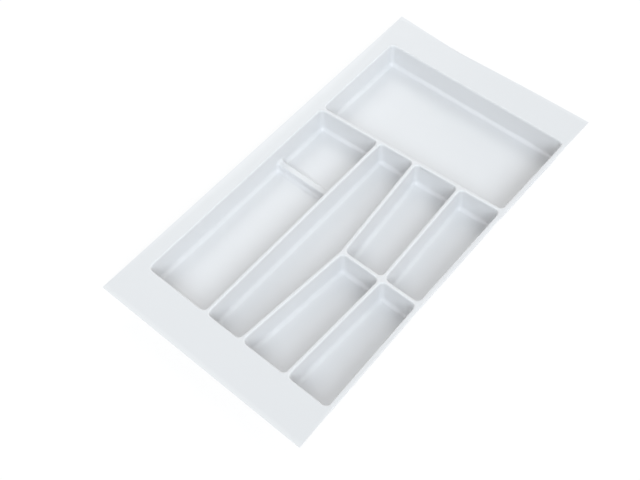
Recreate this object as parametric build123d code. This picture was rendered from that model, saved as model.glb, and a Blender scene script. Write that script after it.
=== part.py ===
from build123d import *
import math
import os

# Cutlery tray, formed from one sheet of plastic: a flat flange with eight wells
# sunk into it. The frame's origin is on the surface that the wells stand on,
# under the middle of the flange. +X is the narrow side flange, +Y the end with
# the well that lies across, +Z up. Millimetres.

# Flange outline and sheet
tray_length = 491.6
tray_width = 262.7
tray_height = 32.4
sheet = 1.2
front_flange_width = 45.3
rear_flange_width = 44.0
left_flange_width = 19.7
right_flange_width = 4.85
right_edge_sag = 2.9

# Rear edge of the flange: three straight runs that fall short of the left corner
rear_edge_bend_shares = (0.319, 0.665)
rear_edge_dips = (5.4, 2.5, 1.15)
rear_edge_bend_radius = 250.0

# Folds between the wells: two walls, back to back, open from below
fold_gap = 1.6
fold_bend_radius = 0.4
fold_bend_limit_share = 0.45
lip_straight = 2.4

# Well walls and floors
draft_angle = 1.5
right_wall_draft_angle = 7.0
corner_radius = 5.6
knee_radius = 30.0
floor_fillet = 5.2

# Low divider across the left well, folded up from its floor
low_divider_height = 9.7
low_divider_top_width = 7.1
low_divider_draft_angle = 5.0
low_divider_base_fillet = 4.8
low_divider_bend_radius = 0.4

# Layout of the folds, as shares of the field of wells from its left and front walls
left_fold_share = 0.3384
middle_fold_shares = (0.5358, 0.5860, 0.5358)
right_fold_shares = (0.7810, 0.8016, 0.7766)
cross_fold_share = 0.349
rear_fold_shares = (0.6809, 0.7086)
low_divider_share = 0.4913

# How far cutting solids run past what they cut
overrun = 5.0

# Values that follow from the sizes above
half_fold = sheet + fold_gap / 2
rim_radius = sheet + min(fold_bend_radius, fold_bend_limit_share * fold_gap)
lip_level = tray_height - rim_radius - lip_straight
well_depth = tray_height - sheet
left_wall_x = left_flange_width - tray_width / 2
front_wall_y = front_flange_width - tray_length / 2
field_width = tray_width - left_flange_width - right_flange_width
field_length = tray_length - front_flange_width - rear_flange_width
right_edge_radius = (tray_length ** 2 / 4 + right_edge_sag ** 2) / (2 * right_edge_sag)


def right_edge_x(y):
    """X of the bowed right edge of the flange."""
    arc_centre_x = tray_width / 2 - right_edge_sag + right_edge_radius
    return arc_centre_x - math.sqrt(right_edge_radius ** 2 - y ** 2)


def across(share):
    """X of a place across the field of wells."""
    return left_wall_x + share * field_width


def along(share):
    """Y of a place along the field of wells."""
    return front_wall_y + share * field_length


def rear_fold_y(x):
    """Y of the slanted fold in front of the rear well."""
    left_share, right_share = rear_fold_shares
    return along(left_share + (right_share - left_share) * (x - left_wall_x) / field_width)


def left_point(y):
    """Corner of a cell on its left side, half a fold outside the wall."""
    return (left_wall_x - half_fold, y)


def right_point(y):
    """Corner of a cell on its right side, half a fold outside the wall."""
    return (right_edge_x(y) - right_flange_width + half_fold, y)


def cells():
    """Cells of the wells in plan, bounded by the middle lines of the folds."""
    front = front_wall_y - half_fold
    rear = front_wall_y + field_length + half_fold
    knee = along(cross_fold_share)
    left = across(left_fold_share)
    middle_front, middle_knee, middle_rear = [across(share) for share in middle_fold_shares]
    right_front, right_knee, right_rear = [across(share) for share in right_fold_shares]
    rear_left = left_point(rear_fold_y(left_wall_x - half_fold))
    rear_right = right_point(rear_fold_y(left_wall_x + field_width))
    left_end = (left, rear_fold_y(left))
    middle_end = (middle_rear, rear_fold_y(middle_rear))
    right_end = (right_rear, rear_fold_y(right_rear))
    middle_bend = (middle_knee, knee)
    right_bend = (right_knee, knee)
    return {
        "rear_pan": [rear_left, rear_right, right_point(rear), left_point(rear)],
        "left_pan": [left_point(front), (left, front), left_end, rear_left],
        "long_pan": [(left, front), (middle_front, front), middle_bend, middle_end, left_end],
        "middle_rear_pan": [middle_bend, right_bend, right_end, middle_end],
        "middle_front_pan": [(middle_front, front), (right_front, front), right_bend, middle_bend],
        "right_rear_pan": [right_bend, right_point(knee), rear_right, right_end],
        "right_front_pan": [(right_front, front), right_point(front), right_point(knee), right_bend],
    }


def drafted_block(cell, growth):
    """Block of a well's form, its walls drafted inwards and its edges round.

    With no growth it is the space in the well, up to the top of the flange. Grown by
    the sheet it is the outer form, one sheet lower.
    """
    top = Plane.XY.offset(tray_height - growth)
    mouth = offset(Polygon(*cell, align=None), amount=growth - half_fold, kind=Kind.INTERSECTION)
    block = extrude(top * mouth, amount=-well_depth)
    for on_right, angle in ((False, draft_angle), (True, right_wall_draft_angle)):
        walls = [wall for wall in block.faces().sort_by(Axis.Z)[1:-1] if is_right_wall(wall) == on_right]
        if walls:
            block = draft(walls, top, -angle)
    wall_edges = ShapeList(edge for edge in block.edges() if is_upright(edge))
    corners = wall_edges.sort_by(Axis.Y)
    if len(corners) > 4:
        knee = corners[2]
        block = fillet(corners[:2] + corners[3:], corner_radius + growth)
        block = fillet(nearest_edge(block, knee), knee_radius + growth)
    else:
        block = fillet(corners, corner_radius + growth)
    return fillet(block.edges().group_by(Axis.Z)[0], floor_fillet + growth)


def is_right_wall(wall):
    """Whether a wall stands along the narrow right flange."""
    place = wall.center()
    return place.X > right_edge_x(place.Y) - right_flange_width - 2 * half_fold


def is_upright(edge):
    """Whether an edge runs up a wall."""
    direction = edge.tangent_at(0)
    return abs(direction.Z) > abs(direction.X) + abs(direction.Y)


def nearest_edge(block, edge):
    """Edge of a block that lies nearest to the middle of another edge."""
    return block.edges().sort_by_distance(edge.center())[0]


def low_divider_bar(inward):
    """Bar with the section of the low divider, drawn inwards for its hollow underside."""
    foot = sheet - inward - overrun
    top = sheet - inward + low_divider_height
    half_top = low_divider_top_width / 2 - inward
    half_foot = half_top + (top - foot) * math.tan(math.radians(low_divider_draft_angle))
    outline = [(-half_foot, foot), (half_foot, foot), (half_top, top), (-half_top, top)]
    section = Polygon(*outline, align=None)
    section = fillet(section.vertices().sort_by(Axis.Y)[-2:], low_divider_bend_radius + sheet - inward)
    length = across(left_fold_share) - left_wall_x + 2 * half_fold
    start = Plane.YZ.offset(left_wall_x - half_fold)
    return extrude(start * (Pos(along(low_divider_share), 0, 0) * section), length)


def cut_low_divider(block, inward):
    """Cut the low divider's bar out of a well's block, its foot blended all round."""
    bar = low_divider_bar(inward)
    floor_level = sheet - inward
    cut = block - bar
    box = bar.bounding_box()
    foot_edges = [edge for edge in cut.edges() if on_bar_foot(edge, box, floor_level)]
    return fillet(foot_edges, low_divider_base_fillet + inward)


def on_bar_foot(edge, box, floor_level):
    """Whether an edge is where the low divider's bar leaves the floor or a wall."""
    centre = edge.center()
    if not (box.min.Y < centre.Y < box.max.Y and centre.Z < box.max.Z + overrun):
        return False
    runs_across = abs(edge.tangent_at(0).X) > math.cos(math.radians(1))
    return not runs_across or abs(centre.Z - floor_level) < sheet / 10


def well_blocks(name, cell):
    """Space and outer form of one pan, with the low divider where it has one."""
    space = drafted_block(cell, 0)
    outside = drafted_block(cell, sheet)
    if name == "left_pan":
        space = cut_low_divider(space, 0)
        outside = cut_low_divider(outside, sheet)
    return space, outside


def pan(space, outside):
    """One pan: the sheet between a well's outer form and its space, below the lip."""
    below = split(outside, Plane.XY.offset(lip_level), keep=Keep.BOTTOM)
    return below - space


def rear_edge(right_end):
    """Rear edge of the flange, from its right end to the left corner."""
    corner = (-tray_width / 2, tray_length / 2)
    left_bend, right_bend = [
        (corner[0] + share * tray_width, corner[1] - dip)
        for share, dip in zip(rear_edge_bend_shares, rear_edge_dips)
    ]
    return FilletPolyline(right_end, right_bend, left_bend, corner, radius=rear_edge_bend_radius)


def flange_plate():
    """Flat sheet of the flange, before the wells are opened in it."""
    half_length = tray_length / 2
    half_width = tray_width / 2
    front_right = (half_width, -half_length)
    rear_right_y = half_length - rear_edge_dips[-1]
    rear_right = (right_edge_x(rear_right_y), rear_right_y)
    rear_left = (-half_width, half_length)
    sides = Polyline(rear_left, (-half_width, -half_length), front_right)
    bowed = ThreePointArc(front_right, (right_edge_x(0), 0), rear_right)
    outline = make_face(rear_edge(rear_right) + sides + bowed)
    return extrude(Pos(0, 0, tray_height) * outline, amount=-sheet)


def rim_deck(blocks):
    """Flange and the caps of the folds, with a round rim at every well's mouth."""
    deck = flange_plate()
    for space, outside in blocks:
        deck += split(outside, Plane.XY.offset(lip_level), keep=Keep.TOP)
    for space, outside in blocks:
        deck -= space
    top = deck.faces().sort_by(Axis.Z)[-1]
    rims = [edge for wire in top.inner_wires() for edge in wire.edges()]
    return fillet(rims, rim_radius)


def main():
    os.makedirs("parts", exist_ok=True)
    blocks = {name: well_blocks(name, cell) for name, cell in cells().items()}
    for name, (space, outside) in blocks.items():
        export_step(pan(space, outside), f"parts/{name}.step")
    export_step(rim_deck(blocks.values()), "parts/flange_deck.step")


main()
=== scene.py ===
import bpy
import bmesh
import math
from mathutils import Matrix, Vector


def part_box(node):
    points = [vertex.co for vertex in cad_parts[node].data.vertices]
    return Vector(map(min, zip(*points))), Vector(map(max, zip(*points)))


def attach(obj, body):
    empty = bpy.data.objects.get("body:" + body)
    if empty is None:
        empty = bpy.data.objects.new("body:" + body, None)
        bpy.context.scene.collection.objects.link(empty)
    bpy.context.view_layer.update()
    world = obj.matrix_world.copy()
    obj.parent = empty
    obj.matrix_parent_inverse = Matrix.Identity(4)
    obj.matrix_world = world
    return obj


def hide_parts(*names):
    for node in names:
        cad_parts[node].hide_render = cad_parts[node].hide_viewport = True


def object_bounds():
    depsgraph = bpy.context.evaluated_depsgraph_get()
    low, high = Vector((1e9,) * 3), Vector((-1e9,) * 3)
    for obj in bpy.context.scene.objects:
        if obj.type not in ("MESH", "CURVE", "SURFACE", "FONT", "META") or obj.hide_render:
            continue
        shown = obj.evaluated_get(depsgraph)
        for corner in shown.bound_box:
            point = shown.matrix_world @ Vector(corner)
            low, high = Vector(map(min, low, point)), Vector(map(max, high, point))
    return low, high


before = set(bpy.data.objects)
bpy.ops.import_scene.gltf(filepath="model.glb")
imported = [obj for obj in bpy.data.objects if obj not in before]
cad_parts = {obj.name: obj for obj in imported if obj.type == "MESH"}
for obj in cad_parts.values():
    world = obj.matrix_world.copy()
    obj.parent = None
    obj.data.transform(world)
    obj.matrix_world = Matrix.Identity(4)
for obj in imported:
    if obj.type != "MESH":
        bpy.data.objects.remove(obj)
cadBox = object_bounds()
print("frame loaded:", len(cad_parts), "CAD nodes")

# Camera, matched to the photograph. World axes are the tray's own.
cameraView = {
    "place": (0.357090, -0.451707, 0.845708),
    "right": (0.7620347, 0.6470525, -0.0250235),
    "up": (-0.5332580, 0.6490033, 0.5426145),
    "lens": 52.832,
    "sensor": 36.0,
    "near": 0.01,
    "far": 50.0,
}


def makeCamera(view):
    data = bpy.data.cameras.new("photoCamera")
    data.lens = view["lens"]
    data.sensor_width = view["sensor"]
    data.clip_start = view["near"]
    data.clip_end = view["far"]
    right = Vector(view["right"]).normalized()
    up = Vector(view["up"])
    up = (up - up.dot(right) * right).normalized()
    back = right.cross(up)
    turn = Matrix((right, up, back)).transposed().to_4x4()
    camera = bpy.data.objects.new("photoCamera", data)
    camera.matrix_world = Matrix.Translation(view["place"]) @ turn
    bpy.context.scene.collection.objects.link(camera)
    bpy.context.scene.camera = camera


makeCamera(cameraView)
print("camera set")


# A socket takes another node's output as a link, and a plain value as its own.
def feed(tree, socket, value):
    if isinstance(value, bpy.types.NodeSocket):
        tree.links.new(value, socket)
    else:
        socket.default_value = value


def mathStep(tree, operation, first, second):
    step = tree.nodes.new("ShaderNodeMath")
    step.operation = operation
    feed(tree, step.inputs[0], first)
    feed(tree, step.inputs[1], second)
    return step.outputs["Value"]


def noiseNode(tree, place, scale, detail):
    noise = tree.nodes.new("ShaderNodeTexNoise")
    feed(tree, noise.inputs["Vector"], place)
    feed(tree, noise.inputs["Scale"], scale)
    feed(tree, noise.inputs["Detail"], detail)
    return noise


# Studio: a plain white floor that glows to the camera, an even dome of light and three
# soft, far lamps round the tray, the key a little cooler than the rest. A fourth, to the
# front left, only shines on the plastic's satin face, as a white reflector there would.
studio = {
    "floorSize": 6.0,
    "floorGap": 0.0003,       # keeps the floor clear of the tray's own underside
    "floorColor": (0.9, 0.9, 0.9, 1.0),
    "floorGlow": 0.90,        # the floor's own white, as the camera sees it
    "shadowShare": 0.14,      # how much lit floor is added, which shows the shadow
    "backdropColor": (1.0, 1.0, 1.0, 1.0),
    "worldColor": (0.985, 1.0, 0.995, 1.0),
    "worldStrength": 0.49,
    "lampDistance": 2.0,      # only where they stand: a sun lights alike from anywhere
    "lamps": {                # angles in degrees; not onMatte means seen in gloss only
        "keyLamp": {
            "round": -38.0, "height": 42.0, "spread": 34.0,
            "power": 1.41, "color": (0.91, 1.0, 1.08), "onMatte": True,
        },
        "rearLamp": {
            "round": 140.0, "height": 45.0, "spread": 30.0,
            "power": 0.48, "color": (1.0, 1.0, 1.0), "onMatte": True,
        },
        "sideLamp": {
            "round": 60.0, "height": 35.0, "spread": 70.0,
            "power": 0.51, "color": (1.0, 1.0, 1.0), "onMatte": True,
        },
        "sheenLamp": {
            "round": -113.0, "height": 28.0, "spread": 60.0,
            "power": 1.25, "color": (1.0, 0.98, 1.02), "onMatte": False,
        },
    },
}


def backgroundRays(tree):
    path = tree.nodes.new("ShaderNodeLightPath")
    rays = path.outputs["Is Camera Ray"]
    for kind in ("Is Glossy Ray", "Is Transmission Ray"):
        rays = mathStep(tree, "MAXIMUM", rays, path.outputs[kind])
    return rays


def floorMaterial(look):
    material = bpy.data.materials.new("studioFloor")
    material.use_nodes = True
    nodes = material.node_tree.nodes
    links = material.node_tree.links
    nodes.clear()
    out = nodes.new("ShaderNodeOutputMaterial")
    lit = nodes.new("ShaderNodeBsdfDiffuse")
    lit.inputs["Color"].default_value = look["floorColor"]
    glow = nodes.new("ShaderNodeEmission")
    glow.inputs["Strength"].default_value = look["floorGlow"] / (1.0 - look["shadowShare"])
    seen = nodes.new("ShaderNodeMixShader")
    seen.inputs["Fac"].default_value = look["shadowShare"]
    links.new(glow.outputs["Emission"], seen.inputs[1])
    links.new(lit.outputs["BSDF"], seen.inputs[2])
    pick = nodes.new("ShaderNodeMixShader")
    links.new(backgroundRays(material.node_tree), pick.inputs["Fac"])
    links.new(lit.outputs["BSDF"], pick.inputs[1])
    links.new(seen.outputs["Shader"], pick.inputs[2])
    links.new(pick.outputs["Shader"], out.inputs["Surface"])
    return material


def makeFloor(look):
    half = look["floorSize"] / 2
    low = -look["floorGap"]
    corners = [(-half, -half, low), (half, -half, low), (half, half, low), (-half, half, low)]
    mesh = bpy.data.meshes.new("studioFloor")
    mesh.from_pydata(corners, [], [(0, 1, 2, 3)])
    mesh.materials.append(floorMaterial(look))
    floor = bpy.data.objects.new("studioFloor", mesh)
    bpy.context.scene.collection.objects.link(floor)


def makeWorld(look):
    world = bpy.data.worlds.new("studioWorld")
    world.use_nodes = True
    nodes = world.node_tree.nodes
    links = world.node_tree.links
    sky = nodes["Background"]
    sky.inputs["Color"].default_value = look["worldColor"]
    sky.inputs["Strength"].default_value = look["worldStrength"]
    backdrop = nodes.new("ShaderNodeBackground")
    backdrop.inputs["Color"].default_value = look["backdropColor"]
    pick = nodes.new("ShaderNodeMixShader")
    links.new(backgroundRays(world.node_tree), pick.inputs["Fac"])
    links.new(sky.outputs["Background"], pick.inputs[1])
    links.new(backdrop.outputs["Background"], pick.inputs[2])
    links.new(pick.outputs["Shader"], nodes["World Output"].inputs["Surface"])
    bpy.context.scene.world = world


def makeLamp(name, lamp, distance):
    data = bpy.data.lights.new(name, "SUN")
    data.angle = math.radians(lamp["spread"])
    data.energy = lamp["power"]
    data.color = lamp["color"]
    turn = math.radians(lamp["round"])
    rise = math.radians(lamp["height"])
    across = math.cos(rise)
    towards = Vector((across * math.cos(turn), across * math.sin(turn), math.sin(rise)))
    light = bpy.data.objects.new(name, data)
    light.location = towards * distance
    light.rotation_euler = towards.to_track_quat("Z", "Y").to_euler()
    light.visible_diffuse = lamp["onMatte"]
    bpy.context.scene.collection.objects.link(light)


makeFloor(studio)
makeWorld(studio)
for name, lamp in studio["lamps"].items():
    makeLamp(name, lamp, studio["lampDistance"])
print("studio set")

# Finish of the formed plastic: cool white with a satin face
trayPlastic = {
    "color": (0.798, 0.800, 0.809, 1.0),
    "rimHighlightColor": (0.868, 0.870, 0.876, 1.0),   # painted highlight: whiter on the rims' bends, where light catches them
    "colorDrift": 0.985,      # how dark the faintest cloud in the plastic is
    "cloudScale": 14.0,
    "cloudDetail": 3.0,
    "roughness": 0.36,
    "roughnessSpread": 0.07,
    "smearScale": 55.0,
    "smearDetail": 4.0,
    "grainScale": 1400.0,     # orange peel left by the hot sheet
    "grainDetail": 2.0,
    "grainHeight": 0.00002,
    "grainStrength": 0.35,
}


def colorMix(tree, share, first, second):
    mix = tree.nodes.new("ShaderNodeMix")
    mix.data_type = "RGBA"
    feed(tree, mix.inputs["Factor"], share)
    feed(tree, mix.inputs["A"], first)
    feed(tree, mix.inputs["B"], second)
    return mix.outputs["Result"]


def plasticMaterial(look):
    material = bpy.data.materials.new("trayPlastic")
    material.use_nodes = True
    tree = material.node_tree
    nodes = tree.nodes
    links = tree.links
    shader = nodes["Principled BSDF"]
    place = nodes.new("ShaderNodeTexCoord").outputs["Object"]

    clouds = noiseNode(tree, place, look["cloudScale"], look["cloudDetail"])
    cloudColor = [part * look["colorDrift"] for part in look["color"][:3]] + [1.0]
    tint = colorMix(tree, clouds.outputs["Fac"], cloudColor, look["color"])
    rimHighlight = nodes.new("ShaderNodeAttribute")   # painted rim highlight, written by the sheet's own node tree
    rimHighlight.attribute_name = "rimHighlight"
    # painted highlight on the rims' bends, mixed over the plastic's tint
    highlighted = colorMix(tree, rimHighlight.outputs["Fac"], tint, look["rimHighlightColor"])
    links.new(highlighted, shader.inputs["Base Color"])

    smears = noiseNode(tree, place, look["smearScale"], look["smearDetail"])
    rough = nodes.new("ShaderNodeMapRange")
    rough.inputs["To Min"].default_value = look["roughness"] - look["roughnessSpread"]
    rough.inputs["To Max"].default_value = look["roughness"] + look["roughnessSpread"]
    links.new(smears.outputs["Fac"], rough.inputs["Value"])
    links.new(rough.outputs["Result"], shader.inputs["Roughness"])

    grain = noiseNode(tree, place, look["grainScale"], look["grainDetail"])
    bump = nodes.new("ShaderNodeBump")
    bump.inputs["Strength"].default_value = look["grainStrength"]
    bump.inputs["Distance"].default_value = look["grainHeight"]
    links.new(grain.outputs["Fac"], bump.inputs["Height"])
    links.new(bump.outputs["Normal"], shader.inputs["Normal"])
    return material


plastic = plasticMaterial(trayPlastic)
print("plastic set")

# The formed sheet, region by region. Each keeps its solid's form, with the slight
# waviness a thin sheet takes on as it cools, and marks its rims' bends for a painted highlight.
formedSheet = {
    "mergeDistance": 1e-6,
    "slice": 0.012,           # spacing of the cuts that let the flat faces bend
    "sliceTolerance": 2e-5,   # a corner this near a cut isn't cut again
    "waveHeight": 0.00022,
    "waveLength": 0.11,
    "waveDetail": 1.0,
    "seed": 11,
    "rimRadius": 0.0016,
    # how strong the painted highlight on the rims' bends is
    "rimHighlightStrength": 0.75,
    "rimHighlightFade": (1.0, 2.0),    # where the painted rim highlight starts to fade and ends, in rim radii
    "bendFacing": (0.995, 0.90),   # the normal's upward part, flat and where fully bent
    "smoothAngle": 38.0,
    "normalWeight": 80,
}


def sheetTree(material, look):
    tree = bpy.data.node_groups.new("sheetWaviness", "GeometryNodeTree")
    face = tree.interface
    face.new_socket("Geometry", in_out="INPUT", socket_type="NodeSocketGeometry")
    for name in ("Wave Height", "Wave Length", "Rim Height", "Rim Radius", "Rim Highlight Strength"):
        face.new_socket(name, in_out="INPUT", socket_type="NodeSocketFloat")
    face.new_socket("Seed", in_out="INPUT", socket_type="NodeSocketInt")
    face.new_socket("Geometry", in_out="OUTPUT", socket_type="NodeSocketGeometry")
    nodes = tree.nodes
    links = tree.links
    entry = nodes.new("NodeGroupInput").outputs
    place = nodes.new("GeometryNodeInputPosition").outputs["Position"]
    level = nodes.new("ShaderNodeSeparateXYZ")
    links.new(place, level.inputs["Vector"])

    # the wave: an even noise round nought, none of it at the floor and all of it at the rim
    pitch = mathStep(tree, "DIVIDE", 1.0, entry["Wave Length"])
    waves = noiseNode(tree, place, pitch, look["waveDetail"])
    waves.noise_dimensions = "4D"
    links.new(entry["Seed"], waves.inputs["W"])
    centred = nodes.new("ShaderNodeVectorMath")
    centred.operation = "SUBTRACT"
    centred.inputs[1].default_value = (0.5, 0.5, 0.5)   # noise runs from 0 to 1
    links.new(waves.outputs["Color"], centred.inputs[0])
    share = mathStep(tree, "DIVIDE", level.outputs["Z"], entry["Rim Height"])
    move = nodes.new("ShaderNodeVectorMath")
    move.operation = "SCALE"
    links.new(centred.outputs["Vector"], move.inputs[0])
    links.new(mathStep(tree, "MULTIPLY", share, entry["Wave Height"]), move.inputs["Scale"])

    # the painted rim highlight: full on the rim's bend, gone a radius below, none on flat sheet
    depth = mathStep(tree, "SUBTRACT", entry["Rim Height"], level.outputs["Z"])
    fade = nodes.new("ShaderNodeMapRange")
    fade.inputs["From Min"].default_value = look["rimHighlightFade"][0]
    fade.inputs["From Max"].default_value = look["rimHighlightFade"][1]
    fade.inputs["To Min"].default_value = 1.0
    fade.inputs["To Max"].default_value = 0.0
    links.new(mathStep(tree, "DIVIDE", depth, entry["Rim Radius"]), fade.inputs["Value"])
    facing = nodes.new("ShaderNodeSeparateXYZ")
    normal = nodes.new("GeometryNodeInputNormal").outputs["Normal"]
    links.new(normal, facing.inputs["Vector"])
    tilt = nodes.new("ShaderNodeMapRange")
    tilt.inputs["From Min"].default_value = look["bendFacing"][0]
    tilt.inputs["From Max"].default_value = look["bendFacing"][1]
    links.new(facing.outputs["Z"], tilt.inputs["Value"])
    rimMask = mathStep(tree, "MULTIPLY", fade.outputs["Result"], tilt.outputs["Result"])
    mark = nodes.new("GeometryNodeStoreNamedAttribute")
    mark.inputs["Name"].default_value = "rimHighlight"
    links.new(entry["Geometry"], mark.inputs["Geometry"])
    links.new(mathStep(tree, "MULTIPLY", rimMask, entry["Rim Highlight Strength"]), mark.inputs["Value"])

    shift = nodes.new("GeometryNodeSetPosition")
    links.new(mark.outputs["Geometry"], shift.inputs["Geometry"])
    links.new(move.outputs["Vector"], shift.inputs["Offset"])
    real = nodes.new("GeometryNodeRealizeInstances")
    links.new(shift.outputs["Geometry"], real.inputs["Geometry"])
    paint = nodes.new("GeometryNodeSetMaterial")
    paint.inputs["Material"].default_value = material
    links.new(real.outputs["Geometry"], paint.inputs["Geometry"])
    leave = nodes.new("NodeGroupOutput")
    links.new(paint.outputs["Geometry"], leave.inputs["Geometry"])
    return tree


def slicedCopy(node, look):
    shape = bmesh.new()
    shape.from_mesh(node.data)
    bmesh.ops.remove_doubles(shape, verts=shape.verts, dist=look["mergeDistance"])
    low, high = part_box(node.name)
    for axis, normal in enumerate((Vector((1, 0, 0)), Vector((0, 1, 0)))):
        first = math.ceil(low[axis] / look["slice"])
        last = math.floor(high[axis] / look["slice"])
        for step in range(first, last + 1):
            parts = shape.verts[:] + shape.edges[:] + shape.faces[:]
            bmesh.ops.bisect_plane(shape, geom=parts, plane_co=normal * step * look["slice"],
                                   plane_no=normal, dist=look["sliceTolerance"])
    for facet in shape.faces:
        facet.smooth = True
    mesh = bpy.data.meshes.new(node.name + "Sheet")
    shape.to_mesh(mesh)
    shape.free()
    return mesh


def makeSheet(node, tree, look):
    draft = bpy.data.objects.new(node.name + "Draft", slicedCopy(node, look))
    bpy.context.scene.collection.objects.link(draft)
    wave = draft.modifiers.new("waviness", "NODES")
    wave.node_group = tree
    sizes = {
        "Wave Height": look["waveHeight"],
        "Wave Length": look["waveLength"],
        "Rim Height": cadBox[1][2],
        "Rim Radius": look["rimRadius"],
        "Rim Highlight Strength": look["rimHighlightStrength"],
        "Seed": look["seed"],
    }
    for item in tree.interface.items_tree:
        if item.in_out == "INPUT" and item.name in sizes:
            wave[item.identifier] = sizes[item.name]
    view = bpy.context.evaluated_depsgraph_get()
    done = bpy.data.meshes.new_from_object(draft.evaluated_get(view))
    bpy.data.objects.remove(draft)

    done.shade_smooth()
    piece = bpy.data.objects.new(node.name + "_sheet", done)
    bpy.context.scene.collection.objects.link(piece)
    bpy.context.view_layer.objects.active = piece
    piece.select_set(True)
    bpy.ops.object.shade_smooth_by_angle(angle=math.radians(look["smoothAngle"]))
    even = piece.modifiers.new("evenNormals", "WEIGHTED_NORMAL")
    even.keep_sharp = True
    even.weight = look["normalWeight"]
    bpy.ops.object.modifier_apply(modifier=even.name)
    piece.select_set(False)
    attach(piece, "root")
    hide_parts(node.name)
    return piece


wavySheet = sheetTree(plastic, formedSheet)
for node in list(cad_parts.values()):
    piece = makeSheet(node, wavySheet, formedSheet)
    print("sheet region", piece.name, "faces", len(piece.data.polygons))

bpy.context.scene.view_settings.view_transform = "Standard"
